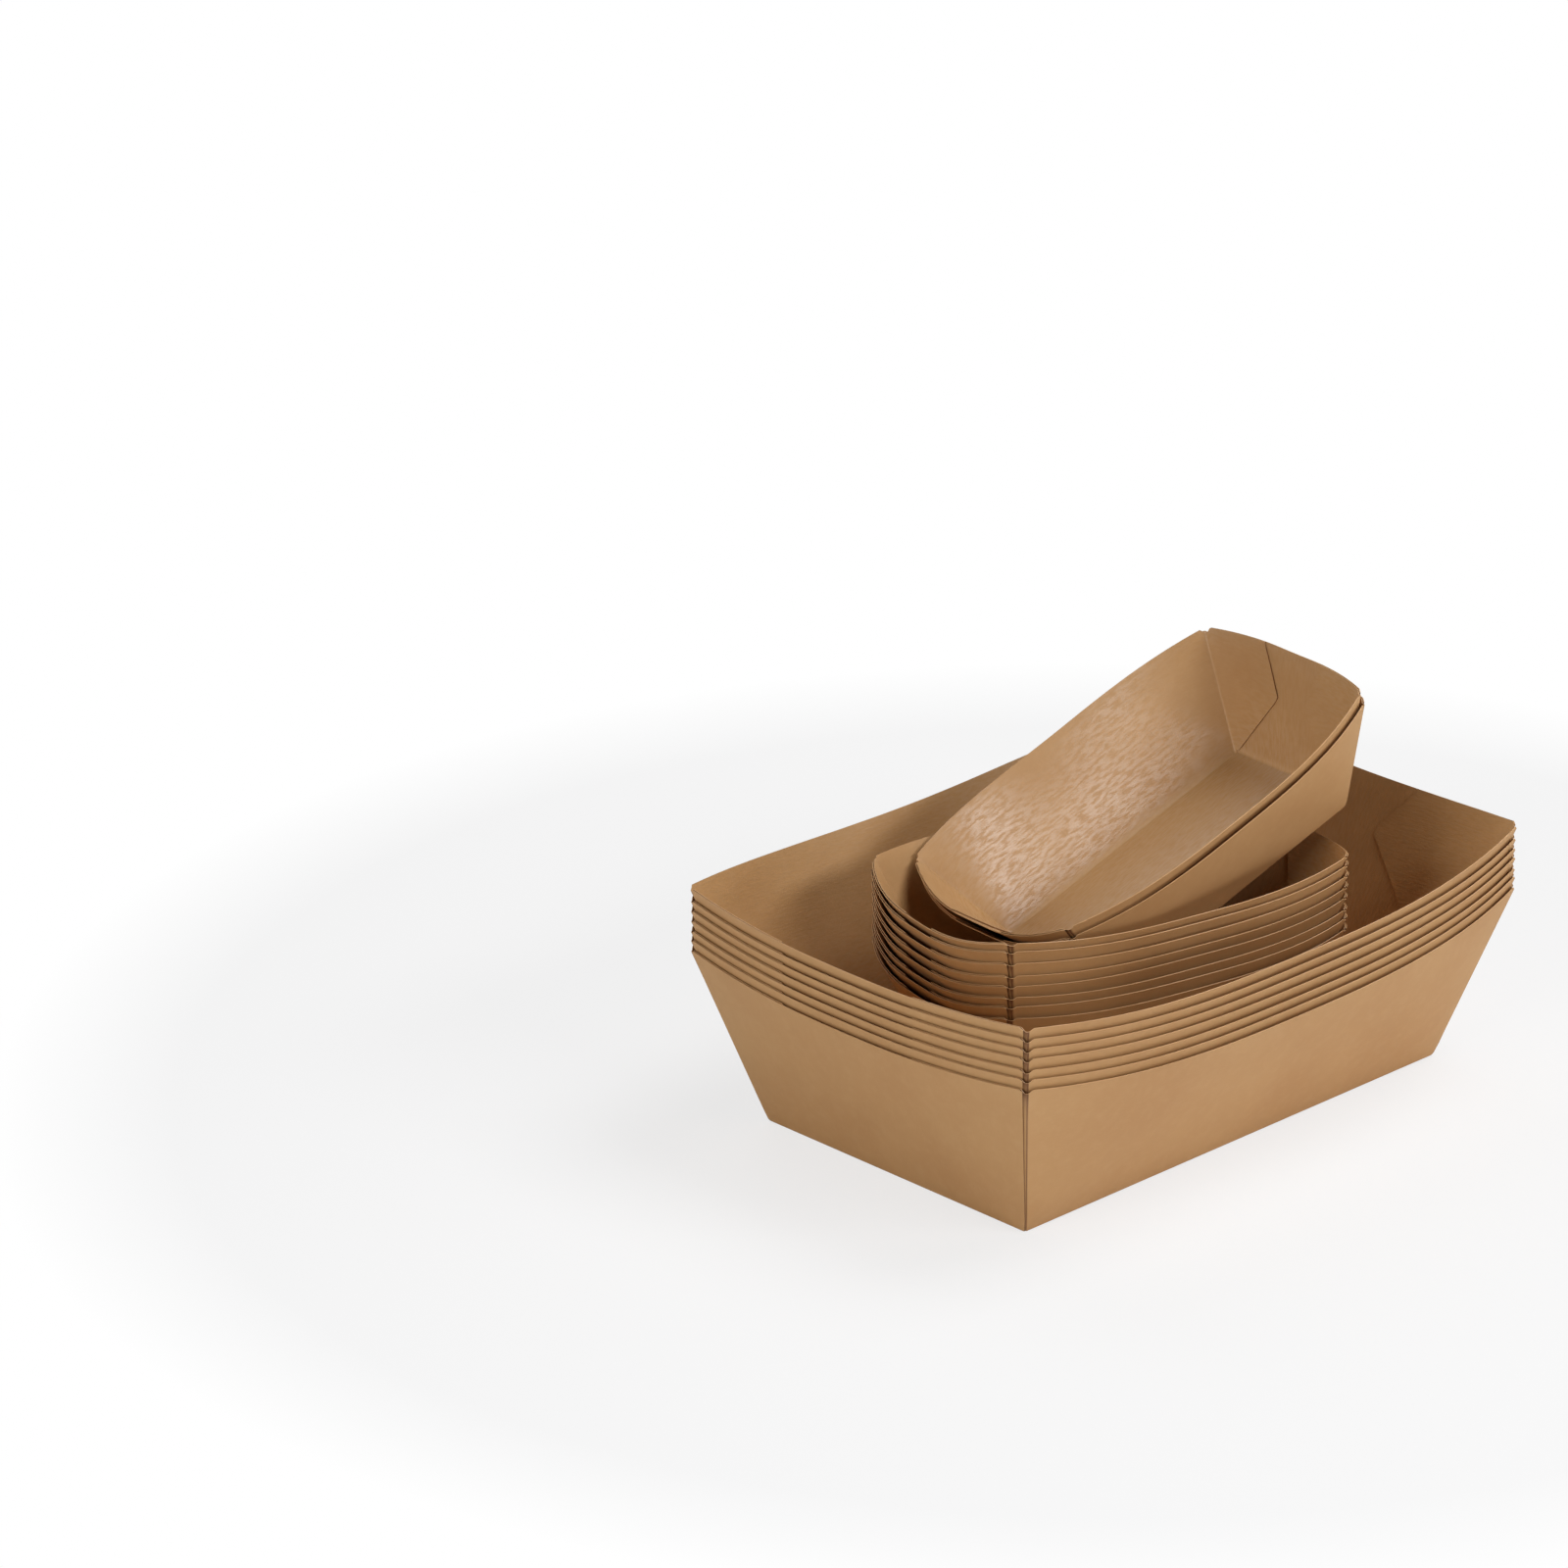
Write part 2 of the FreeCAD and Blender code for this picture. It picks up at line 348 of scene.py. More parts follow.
@dataclass
class Sheets:
    """The closed sheets of board that make one tray, gathered as plain arrays."""

    points: list[np.ndarray] = field(default_factory=list)
    crease: list[np.ndarray] = field(default_factory=list)
    skin: list[np.ndarray] = field(default_factory=list)
    climb: list[np.ndarray] = field(default_factory=list)
    fold: list[np.ndarray] = field(default_factory=list)
    rise: list[np.ndarray] = field(default_factory=list)
    spread: list[np.ndarray] = field(default_factory=list)
    faces: list[tuple[int, ...]] = field(default_factory=list)
    cut: list[float] = field(default_factory=list)
    seam: list[float] = field(default_factory=list)
    count: int = 0

    def add(
        self,
        outer: np.ndarray,
        inner: np.ndarray,
        crease: np.ndarray,
        fold: np.ndarray,
        rise: np.ndarray,
        spread: np.ndarray,
    ) -> None:
        """Closes two skins into one sheet of board.

        Args:
            outer: The outer skin, rows by columns by three, facing out.
            inner: The inner skin, of the same shape.
            crease: How near each place is to a crease of the base, from 0 to 1; it sets the
                painted highlight inside the crease.
            fold: How near each place is to a fold at a corner, from 0 to 1; it sets the painted
                shade outside and the painted highlight inside.
            rise: How much of the rim's wear each place takes, from 0 to 1.
            spread: Where each place lies on the flat sheet, rows by columns by two.
        """
        rows, columns = outer.shape[:2]
        number = np.arange(rows * columns).reshape(rows, columns) + self.count
        back = number + rows * columns
        for row in range(rows - 1):
            for column in range(columns - 1):
                ring = ((row, column), (row, column + 1), (row + 1, column + 1), (row + 1, column))
                self.faces.append(tuple(int(number[place]) for place in ring))
                self.faces.append(tuple(int(back[place]) for place in reversed(ring)))
                self.cut += [0.0, 0.0]
                self.seam += [0.0, 0.0]
        border = [(0, c) for c in range(columns)] + [(r, columns - 1) for r in range(1, rows)]
        border += [(rows - 1, c) for c in range(columns - 2, -1, -1)]
        border += [(r, 0) for r in range(rows - 2, 0, -1)]
        for here, there in zip(border, border[1:] + border[:1]):
            ring = (number[there], number[here], back[here], back[there])
            self.faces.append(tuple(int(vertex) for vertex in ring))
            self.cut.append(1.0)
            # Cut faces at the sheet's ends, at the slits and the flaps' free edges, are marked as
            # seams; the finish paints shadow on them.
            self.seam.append(float(here[1] == there[1]))
        up_wall = unit(np.gradient(outer, axis=0))
        climb = np.where(up_wall[..., 2:] < 0, -1, 1) * up_wall * rise[..., None]
        for skin, points in ((Side.OUTER, outer), (Side.INNER, inner)):
            self.points.append(points.reshape(-1, 3))
            self.skin.append(np.full(rows * columns, skin.value))
            self.crease.append(crease.reshape(-1))
            self.fold.append(fold.reshape(-1))
            self.rise.append(rise.reshape(-1))
            self.climb.append(climb.reshape(-1, 3))
            self.spread.append(spread.reshape(-1, 2))
        self.count += 2 * rows * columns

    def mesh(self, name: str) -> bpy.types.Mesh:
        """One mesh of all the sheets, in metres, with what the finish and the wear read."""
        made = bpy.data.meshes.new(name)
        made.from_pydata((np.concatenate(self.points) * MM).tolist(), [], self.faces)
        climb = np.concatenate(self.climb).astype(np.float32)
        layer = made.attributes.new("climb", "FLOAT_VECTOR", "POINT")
        layer.data.foreach_set("vector", climb.ravel())
        for key in ("crease", "fold", "rise", "skin"):
            values = np.concatenate(getattr(self, key)).astype(np.float32)
            made.attributes.new(key, "FLOAT", "POINT").data.foreach_set("value", values)
        for key in ("cut", "seam"):
            values = np.array(getattr(self, key), np.float32)
            made.attributes.new(key, "FLOAT", "FACE").data.foreach_set("value", values)
        spread = np.concatenate(self.spread).astype(np.float32)
        corner = np.zeros(len(made.loops), np.int32)
        made.loops.foreach_get("vertex_index", corner)
        layer = made.uv_layers.new(name="sheet")
        layer.data.foreach_set("uv", spread[corner].ravel())
        made.set_sharp_from_angle(angle=CUT_ANGLE)
        return made


class FoldedTray:
    """One tray, folded from one sheet: a base with two end walls, and two long walls whose
    flaps turn in at the corners and lie inside the end walls."""

    def __init__(self, sizes: TraySizes) -> None:
        """Lays out the skins of the walls.

        Args:
            sizes: The tray's sizes.
        """
        self.sizes = s = sizes
        ends = (s.base_length / 2, s.base_width / 2), (s.rim_length / 2, s.rim_width / 2)
        sides = tuple(pair[::-1] for pair in ends)
        self.end = WallSkin(*ends, s.height, s.end, s.flat_share)
        self.far_end = WallSkin(*ends, s.height, s.far_end or s.end, s.flat_share)
        self.side = WallSkin(*sides, s.height, s.side, s.flat_share)

    def gap_half(self, up: np.ndarray) -> np.ndarray:
        """Half the width between the two flaps on one end wall at a height."""
        s = self.sizes
        foot = s.base_width / 2 - 2 * s.board
        waist = self.end.half(np.array(s.flap_rise)) - s.flap_reach
        mouth = s.rim_width / 2 - s.flap_top
        return np.interp(up, [0, s.flap_rise, s.height], [foot, waist, mouth])

    def pressed(self, depth: float, up_share: float) -> float:
        """A depth in the board, which the cutting has pressed thinner at the rim."""
        return depth * (self.sizes.rim_share if up_share == 1 else 1)

    def clipped(self, rim: np.ndarray, inset: np.ndarray, clip: float) -> np.ndarray:
        """A rim's height with its corner clipped off aslant."""
        return np.minimum(rim, self.sizes.height - clip + np.maximum(inset, 0))

    def end_rows(self, skin: WallSkin, depth: float) -> tuple[np.ndarray, ...]:
        """The base and one end wall, from the middle of the base to the rim.

        Args:
            skin: The end wall's outer skin.
            depth: How far under the outer skin the points lie.

        Returns:
            The points, and for each its nearness to a crease, its share of the rim's wear and
            its place on the flat sheet.
        """
        s = self.sizes
        clip = s.notch * s.end_notch
        across = columns(GRID.end_columns, 2 * clip / s.rim_width)
        base_half = s.base_width / 2 - s.crease
        points, crease, rise, spread = [], [], [], []

        def row(place: np.ndarray, near: float, share: float, far: float) -> None:
            """Adds one row of places."""
            points.append(place)
            crease.append(np.full(len(across), near))
            rise.append(np.full(len(across), share))
            spread.append(np.stack([np.full(len(across), far), across * s.rim_width / 2], -1))

        inside = skin.foot_out - s.crease
        level = np.full(len(across), depth)
        for out in np.linspace(0, inside, GRID.base_rows):
            place = np.stack([np.full(len(across), out), across * base_half, level], -1)
            row(place, 1.0 if out == inside else 0.0, 0.0, out)
        start = points[-1]
        low = np.full(len(across), s.crease)
        end = skin.at(across * skin.half(low), low, depth)
        bend_out = np.full(len(across), skin.foot_out - GRID.crease_pull * depth)
        corner = np.stack([bend_out, across * base_half, level], -1)
        for share in GRID.crease_turn:
            row(bezier(start, corner, end, share), 1.0, 0.0, inside + share * s.crease)
        for share in GRID.up_shares():
            half = s.base_width / 2 + (s.rim_width / 2 - s.slit - s.base_width / 2) * share
            along = across * half
            top = self.clipped(skin.rim(along), half - np.abs(along), clip)
            up = np.maximum(share * top, s.crease)
            near = 1.0 if share == 0 else 0.0
            place = skin.at(along, up, self.pressed(depth, share))
            row(place, near, wear_share(share), skin.foot_out + share * s.height)
        return tuple(np.array(part) for part in (points, crease, rise, spread))

    def add_base(self, sheets: Sheets) -> None:
        """Adds the sheet of the base and the two end walls."""
        skins = []
        for depth in (0.0, self.sizes.board):
            points, crease, rise, spread = self.end_rows(self.far_end, depth)
            mirrored = self.end_rows(self.end, depth)[0][:0:-1] * [-1, 1, 1]
            skins.append(np.concatenate([mirrored, points]))
        crease, rise = (np.concatenate([part[:0:-1], part]) for part in (crease, rise))
        spread = np.concatenate([spread[:0:-1] * [-1, 1], spread])
        sheets.add(skins[0], skins[1], crease, crease * 0, rise, spread)

    def flap_place(
        self, skin: WallSkin, share: np.ndarray, up_share: float, depth: float
    ) -> np.ndarray:
        """Places on the flap at the long wall's +Y end, in the long wall's frame.

        Args:
            skin: The outer skin of the end wall that the flap lines.
            share: How far across the flap, from the corner at 0 to its free edge at 1.
            up_share: How far up, from 0 to 1.
            depth: How far under the flap's outer skin the points lie.

        Returns:
            The points.
        """
        s = self.sizes
        up = np.full(len(share), up_share * s.height)
        for _ in range(GRID.passes):
            edge = skin.half(up) - s.fold
            gap = np.minimum(self.gap_half(up), edge - s.least_flap)
            along = edge + (gap - edge) * share
            top = self.clipped(skin.rim(along), skin.half(up) - along, s.notch)
            up = np.maximum(up_share * top, s.crease)
        under = s.board * s.lining_share + self.pressed(depth, up_share)
        return quarter_turn(skin.at(-along, up, under))

    def side_rows(self, ends: tuple[WallSkin, WallSkin], depth: float) -> tuple[np.ndarray, ...]:
        """One long wall with a flap at each end, from under the base to the rim.

        Args:
            ends: The outer skins of the end walls at its -Y and +Y ends.
            depth: How far under the outer skin the points lie.

        Returns:
            The points, and for each its nearness to a crease and to a fold, its share of the
            rim's wear and its place on the flat sheet.
        """
        s, skin = self.sizes, self.side
        setback = s.lining_share * s.board + s.fold
        along_share = columns(GRID.side_columns, 2 * (s.notch - setback) / s.rim_length)
        first = (s.notch - s.fold) / s.flap_reach
        flap_share = np.concatenate([[0], np.linspace(first, 1, GRID.flap_columns)])
        points, crease, folds, rise, spread = [], [], [], [], []

        def folded(last: np.ndarray, flap: np.ndarray) -> np.ndarray:
            """A flap with the fold that joins it to the wall's last place."""
            corner = np.array([last[0], flap[0][1], (last[2] + flap[0][2]) / 2])
            turned = [bezier(last, corner, flap[0], part) for part in GRID.fold_turn]
            return np.concatenate([turned, flap])

        def row(
            wall: np.ndarray, flaps: list[np.ndarray], near: float, share: float, up: float
        ) -> None:
            """Adds one row: a flap, the wall and the other flap, joined by their folds."""
            mirror = np.array([1, -1, 1])
            left = folded(wall[0] * mirror, flaps[0])[::-1] * mirror
            points.append(np.concatenate([left, wall, folded(wall[-1], flaps[1])]))
            # The strip beside the fold gets painted shade that deepens towards the rim.
            deep = share**2
            beside = max(FOLD_MARK, deep)
            bend = [beside, 1.0, beside, deep, deep] + [0.0] * (len(flaps[0]) - 2)
            folds.append(np.concatenate([bend[::-1], np.zeros(len(wall)), bend]))
            crease.append(np.full(len(points[-1]), near))
            rise.append(np.full(len(points[-1]), share))
            steps = np.linalg.norm(np.diff(points[-1], axis=0), axis=1)
            far = np.concatenate([[0], np.cumsum(steps)])
            spread.append(np.stack([far - far[-1] / 2, np.full(len(far), up)], -1))

        start_half = skin.foot_half - setback
        low = np.full(len(along_share), s.crease)
        end = skin.at(along_share * (skin.half(low) - setback), low, depth)
        level = np.full(len(along_share), depth)
        start_out = np.full(len(along_share), skin.foot_out - s.crease)
        bend_out = np.full(len(along_share), skin.foot_out - GRID.crease_pull * depth)
        start = np.stack([start_out, along_share * start_half, level], -1)
        corner = np.stack([bend_out, along_share * start_half, level], -1)
        lowest = [self.flap_place(skin, flap_share, 0.0, depth) for skin in ends]
        small = np.clip(flap_share, 0, s.tuck_share)[:, None] * (1 + flap_share[:, None])
        tucked = [flap[0] + (flap[-1] - flap[0]) * small for flap in lowest]
        for share in (0.0, *GRID.crease_turn):
            row(bezier(start, corner, end, share), tucked, 1.0, 0.0, share * s.crease)
        for share in GRID.up_shares():
            up = np.full(len(along_share), share * s.height)
            for _ in range(GRID.passes):
                along = along_share * (skin.half(up) - setback)
                top = self.clipped(skin.rim(along), skin.half(up) - np.abs(along), s.notch)
                up = np.maximum(share * top, s.crease)
            flaps = [self.flap_place(end_skin, flap_share, share, depth) for end_skin in ends]
            near = 1.0 if share == 0 else 0.0
            wall = skin.at(along, up, self.pressed(depth, share))
            row(wall, flaps, near, wear_share(share), s.crease + share * s.height)
        return tuple(np.array(part) for part in (points, crease, folds, rise, spread))

    def add_side(self, sheets: Sheets, turns: int) -> None:
        """Adds one long wall with its flaps, turned to its place by quarter turns."""
        skins = []
        ends = (self.far_end, self.end) if turns == 1 else (self.end, self.far_end)
        for depth in (0.0, self.sizes.board):
            points, *rest = self.side_rows(ends, depth)
            for _ in range(turns):
                points = quarter_turn(points)
            skins.append(points)
        sheets.add(*skins, *rest)

    def mesh(self, name: str) -> bpy.types.Mesh:
        """The whole tray as one mesh."""
        sheets = Sheets()
        self.add_base(sheets)
        self.add_side(sheets, 1)
        self.add_side(sheets, 3)
        return sheets.mesh(name)


class Term:
    """A number in a shader. Each operator on it adds one Math node."""

    def __init__(self, paint: "Paint", socket: bpy.types.NodeSocket) -> None:
        """Wraps a socket of a material's tree."""
        self.paint = paint
        self.socket = socket

    def _math(self, operation: str, first: "Term | float", second: "Term | float") -> "Term":
        """One Math node on two numbers."""
        node = self.paint.node("ShaderNodeMath", {"operation": operation}, {0: first, 1: second})
        return Term(self.paint, node.outputs[0])

    def __add__(self, other: "Term | float") -> "Term":
        """The sum."""
        return self._math("ADD", self, other)

    __radd__ = __add__

    def __sub__(self, other: "Term | float") -> "Term":
        """The difference."""
        return self._math("SUBTRACT", self, other)

    def __rsub__(self, other: "Term | float") -> "Term":
        """The difference the other way round."""
        return self._math("SUBTRACT", other, self)

    def __mul__(self, other: "Term | float") -> "Term":
        """The product."""
        return self._math("MULTIPLY", self, other)

    __rmul__ = __mul__

    def at_least(self, other: "Term | float") -> "Term":
        """The larger of two numbers."""
        return self._math("MAXIMUM", self, other)


class Paint:
    """One material and its node tree."""

    def __init__(self, name: str) -> None:
        """Starts an empty tree with an output."""
        self.material = bpy.data.materials.new(name)
        self.material.use_nodes = True
        self.tree = self.material.node_tree
        self.tree.nodes.clear()
        self.output = self.tree.nodes.new("ShaderNodeOutputMaterial")

    def node(self, kind: str, settings: dict[str, Any], sockets: dict[Any, Any]) -> bpy.types.Node:
        """Adds a node.

        Args:
            kind: The node's type.
            settings: Its own settings, set first. "stops" holds a ramp's places and colours.
            sockets: A value, a Term or a socket for each input, by name or number.

        Returns:
            The node.
        """
        made = self.tree.nodes.new(kind)
        for key, value in settings.items():
            if key == "stops":
                self._set_stops(made.color_ramp, value)
            else:
                setattr(made, key, value)
        for key, value in sockets.items():
            source = value.socket if isinstance(value, Term) else value
            if isinstance(source, bpy.types.NodeSocket):
                self.tree.links.new(source, made.inputs[key])
            else:
                made.inputs[key].default_value = source
        return made

    @staticmethod
    def _set_stops(ramp: bpy.types.ColorRamp, stops: list[tuple[float, float]]) -> None:
        """Sets a grey ramp's stops."""
        while len(ramp.elements) < len(stops):
            ramp.elements.new(1.0)
        for element, (place, value) in zip(ramp.elements, stops):
            element.position = place
            element.color = (value, value, value, 1)

    def attribute(self, name: str) -> Term:
        """A number that the mesh carries."""
        node = self.node("ShaderNodeAttribute", {"attribute_name": name}, {})
        return Term(self, node.outputs["Fac"])

    def noise(self, vector: bpy.types.NodeSocket, grain: "Grain") -> Term:
        """Noise from 0 to 1 on a vector that is stretched first."""
        spread = self.node("ShaderNodeMapping", {}, {"Vector": vector, "Scale": grain.stretch})
        sockets = {
            "Vector": spread.outputs[0],
            "Scale": grain.scale,
            "Detail": grain.detail,
            "Roughness": grain.roughness,
        }
        return Term(self, self.node("ShaderNodeTexNoise", {}, sockets).outputs[0])

    def ramp(self, value: Term, low: float, high: float) -> Term:
        """A number spread from 0 at the low end to 1 at the high end."""
        node = self.node(
            "ShaderNodeValToRGB", {"stops": [(low, 0.0), (high, 1.0)]}, {"Fac": value}
        )
        return Term(self, node.outputs[0])

    def mixed(self, share: Term, first: Any, second: Any) -> bpy.types.NodeSocket:
        """Two colours mixed."""
        settings = {"data_type": "RGBA", "clamp_factor": True}
        node = self.node("ShaderNodeMix", settings, {0: share, 6: first, 7: second})
        return node.outputs[2]


def linear(red: float, green: float, blue: float) -> Colour:
    """A colour as a screen shows it, from 0 to 255, as the shader reads it."""
    parts = (part / 255 for part in (red, green, blue))
    return (*(p / 12.92 if p <= 0.04045 else ((p + 0.055) / 1.055) ** 2.4 for p in parts), 1.0)


@dataclass(frozen=True)
class Grain:
    """Noise on the board, spread from low to high, and how strongly it tints the board."""

    scale: float
    detail: float
    low: float
    high: float
    tint: float = 1.0
    stretch: Stretch = EVEN
    roughness: float = 0.6


@dataclass(frozen=True)
class KraftBoard:
    """Uncoated brown board outside, greaseproofed inside, with pale rims, painted shadow on the
    cut edges at the seams, painted shade outside the folds and painted highlights inside the
    creases and folds.
    """

    name: str = "kraft_board"
    tone: Colour = linear(191, 148, 98)
    deep: Colour = linear(178, 131, 82)
    # Also the colour of the painted highlights inside the creases and folds.
    pale: Colour = linear(208, 168, 122)
    edge: Colour = linear(206, 162, 114)
    # The colour of the painted shade and painted shadow at the folds and seams.
    painted_shade: Colour = linear(96, 54, 26)
    fleck: Colour = linear(120, 80, 48)
    cloud: Grain = Grain(22.0, 2.0, 0.35, 0.68, tint=0.5)
    mottle: Grain = Grain(260.0, 3.0, 0.45, 0.8, tint=0.18)
    fibre: Grain = Grain(1.6, 4.0, 0.5, 0.85, tint=0.18, stretch=(0.2, 1.0, 1.0))
    speck: Grain = Grain(2.6, 2.0, 0.70, 0.80, tint=0.2)
    patch: Grain = Grain(14.0, 1.0, 0.32, 0.50)
    streak: Grain = Grain(1.1, 2.0, 0.40, 0.58, stretch=(0.22, 1.0, 1.0))
    # How strongly the painted highlights, painted shade and painted shadow are mixed in at
    # creases, folds and seams.
    painted_crease_highlight: float = 0.45
    painted_fold_highlight: float = 0.35
    painted_fold_shade: float = 0.9
    painted_seam_shadow: float = 0.65
    roughness: float = 0.62
    inner_smooth: float = 0.1
    gloss_smooth: float = 0.12
    fibre_rough: float = 0.1
    fibre_height: float = 0.6
    mottle_height: float = 0.4
    streak_height: float = 2.2
    bump_strength: float = 0.25
    bump_distance: float = 0.0002
    specular: float = 0.5
    coat_roughness: float = 0.3

    def material(self) -> bpy.types.Material:
        """Makes the board's material."""
        paint = Paint(self.name)
        place = paint.node("ShaderNodeTexCoord", {}, {}).outputs["Object"]
        sheet = paint.node("ShaderNodeUVMap", {"uv_map": "sheet"}, {}).outputs[0]
        keys = ("skin", "cut", "seam", "crease", "fold")
        inner, cut, seam, crease, fold = (paint.attribute(key) for key in keys)
        cloud, mottle, patch = (
            paint.noise(place, grain) for grain in (self.cloud, self.mottle, self.patch)
        )
        fibre, speck, streak = (
            paint.noise(sheet, grain) for grain in (self.fibre, self.speck, self.streak)
        )
        colour = self.tone
        for noise, grain, tint in (
            (cloud, self.cloud, self.deep),
            (mottle, self.mottle, self.pale),
            (fibre, self.fibre, self.pale),
            (speck, self.speck, self.fleck),
        ):
            share = paint.ramp(noise, grain.low, grain.high) * grain.tint
            colour = paint.mixed(share, colour, tint)
        # Painted highlights on the inner skin at creases and folds, painted shade outside the
        # folds, pale cut edges, and painted shadow on the cut edges at the seams.
        for share, tint in (
            (crease * inner * self.painted_crease_highlight, self.pale),
            (fold * inner * self.painted_fold_highlight, self.pale),
            (fold * fold * (1 - inner) * self.painted_fold_shade, self.painted_shade),
            (cut * (1 - seam), self.edge),
            (seam * self.painted_seam_shadow, self.painted_shade),
        ):
            colour = paint.mixed(share, colour, tint)
        gloss = inner * paint.ramp(patch, self.patch.low, self.patch.high)
        rough = self.roughness - inner * self.inner_smooth - gloss * self.gloss_smooth
        height = fibre * self.fibre_height + mottle * self.mottle_height
        height = height + gloss * streak * self.streak_height
        bump = paint.node(
            "ShaderNodeBump",
            {},
            {"Strength": self.bump_strength, "Distance": self.bump_distance, "Height": height},
        )
        sockets = {
            "Base Color": colour,
            "Roughness": rough + fibre * self.fibre_rough,
            "Normal": bump.outputs[0],
            "Specular IOR Level": self.specular,
            "Coat Weight": gloss * paint.ramp(streak, self.streak.low, self.streak.high),
            "Coat Roughness": self.coat_roughness,
        }
        board = paint.node("ShaderNodeBsdfPrincipled", {}, sockets)
        paint.tree.links.new(board.outputs[0], paint.output.inputs[0])
        return paint.material


class NestTree:
    """The node tree that stands one tray at each place of a nest and wears each a little."""

    TRAY_STEP: float = 7.31
    WEAR_SCALE: float = 7.0
    WEAR_LEVEL: float = 0.72
    WARP_SCALE: float = 30.0
    NOISE_DETAIL: float = 1.5
    NOISE_MIDDLE: tuple[float, float, float] = (0.5, 0.5, 0.5)

    def __init__(self, tray: bpy.types.Object, finish: bpy.types.Material) -> None:
        """Builds the tree.

        Args:
            tray: The tray that is repeated.
            finish: What the whole nest is made of.
        """
        self.group = bpy.data.node_groups.new("tray_nest", "GeometryNodeTree")
        face = self.group.interface
        face.new_socket("Geometry", in_out="INPUT", socket_type="NodeSocketGeometry")
        for name in ("Wear", "Warp", "Seed"):
            face.new_socket(name, in_out="INPUT", socket_type="NodeSocketFloat")
        face.new_socket("Geometry", in_out="OUTPUT", socket_type="NodeSocketGeometry")
        entry, leave = self._node("NodeGroupInput"), self._node("NodeGroupOutput")
        source = self._node("GeometryNodeObjectInfo")
        source.inputs["Object"].default_value = tray
        source.inputs["As Instance"].default_value = True
        spread = self._node("GeometryNodeInstanceOnPoints")
        number = self._node("GeometryNodeInputIndex")
        store = self._node("GeometryNodeStoreNamedAttribute", domain="INSTANCE", data_type="FLOAT")
        store.inputs["Name"].default_value = "turn_in_nest"
        real = self._node("GeometryNodeRealizeInstances")
        worn = self._moved(entry, real)
        dress = self._node("GeometryNodeSetMaterial")
        dress.inputs["Material"].default_value = finish
        self._link(entry.outputs["Geometry"], spread.inputs["Points"])
        self._link(source.outputs["Geometry"], spread.inputs["Instance"])
        self._link(spread.outputs[0], store.inputs["Geometry"])
        self._link(number.outputs[0], store.inputs["Value"])
        self._link(store.outputs[0], real.inputs[0])
        self._link(worn, dress.inputs["Geometry"])
        self._link(dress.outputs[0], leave.inputs[0])

    def _node(self, kind: str, **settings: Any) -> bpy.types.Node:
        """Adds a node with its settings."""
        made = self.group.nodes.new(kind)
        for key, value in settings.items():
            setattr(made, key, value)
        return made

    def _link(self, source: bpy.types.NodeSocket, target: bpy.types.NodeSocket) -> None:
        """Joins two sockets."""
        self.group.links.new(source, target)

    def _named(self, name: str, kind: str = "FLOAT") -> bpy.types.NodeSocket:
        """A value that the geometry carries."""
        node = self._node("GeometryNodeInputNamedAttribute", data_type=kind)
        node.inputs["Name"].default_value = name
        return node.outputs["Attribute"]

    def _maths(self, kind: str, operation: str, *values: Any) -> bpy.types.NodeSocket:
        """One Math or Vector Math node.

        Args:
            kind: The node's type.
            operation: What it works out.
            values: Its inputs in order, as sockets or plain values, or None to pass one over.

        Returns:
            Its result.
        """
        node = self._node(kind, operation=operation)
        for place, value in enumerate(values):
            if isinstance(value, bpy.types.NodeSocket):
                self._link(value, node.inputs[place])
            elif value is not None:
                node.inputs[place].default_value = value
        return node.outputs[0]

    def _noise(self, shift: bpy.types.NodeSocket, scale: float) -> bpy.types.Node:
        """Noise that differs from tray to tray."""
        place = self._node("GeometryNodeInputPosition")
        noise = self._node("ShaderNodeTexNoise", noise_dimensions="4D")
        noise.inputs["Scale"].default_value = scale
        noise.inputs["Detail"].default_value = self.NOISE_DETAIL
        self._link(place.outputs[0], noise.inputs["Vector"])
        self._link(shift, noise.inputs["W"])
        return noise

    def _moved(self, entry: bpy.types.Node, real: bpy.types.Node) -> bpy.types.NodeSocket:
        """Lowers the rims and warps the walls, each tray its own way."""
        plain, vector = "ShaderNodeMath", "ShaderNodeVectorMath"
        turn = self._named("turn_in_nest")
        shift = self._maths(plain, "MULTIPLY_ADD", turn, self.TRAY_STEP, entry.outputs["Seed"])
        level = self._noise(shift, self.WEAR_SCALE).outputs[0]
        drop = self._maths(plain, "SUBTRACT", level, self.WEAR_LEVEL)
        wear = self._maths(plain, "MULTIPLY", drop, entry.outputs["Wear"])
        climb = self._named("climb", "FLOAT_VECTOR")
        slide = self._maths(vector, "SCALE", climb, None, None, wear)
        warped = self._noise(shift, self.WARP_SCALE).outputs["Color"]
        middle = self._maths(vector, "SUBTRACT", warped, self.NOISE_MIDDLE)
        sway = self._maths(plain, "MULTIPLY", self._named("rise"), entry.outputs["Warp"])
        warp = self._maths(vector, "SCALE", middle, None, None, sway)
        moved = self._node("GeometryNodeSetPosition")
        self._link(real.outputs[0], moved.inputs["Geometry"])
        self._link(self._maths(vector, "ADD", slide, warp), moved.inputs["Offset"])
        return moved.outputs[0]

    def apply(self, places: bpy.types.Object, values: dict[str, float]) -> bpy.types.Mesh:
        """Runs the tree on a mesh of places.

        Args:
            places: One vertex where each tray stands.
            values: The tree's named inputs.

        Returns:
            The nest as a plain mesh.
        """
        modifier = places.modifiers.new("nest", "NODES")
        modifier.node_group = self.group
        for item in self.group.interface.items_tree:
            if item.item_type == "SOCKET" and item.in_out == "INPUT" and item.name in values:
                modifier[item.identifier] = values[item.name]
        bpy.context.view_layer.update()
        graph = bpy.context.evaluated_depsgraph_get()
        ready = places.evaluated_get(graph)
        mesh = bpy.data.meshes.new_from_object(
            ready, preserve_all_data_layers=True, depsgraph=graph
        )
        places.modifiers.remove(modifier)
        return mesh


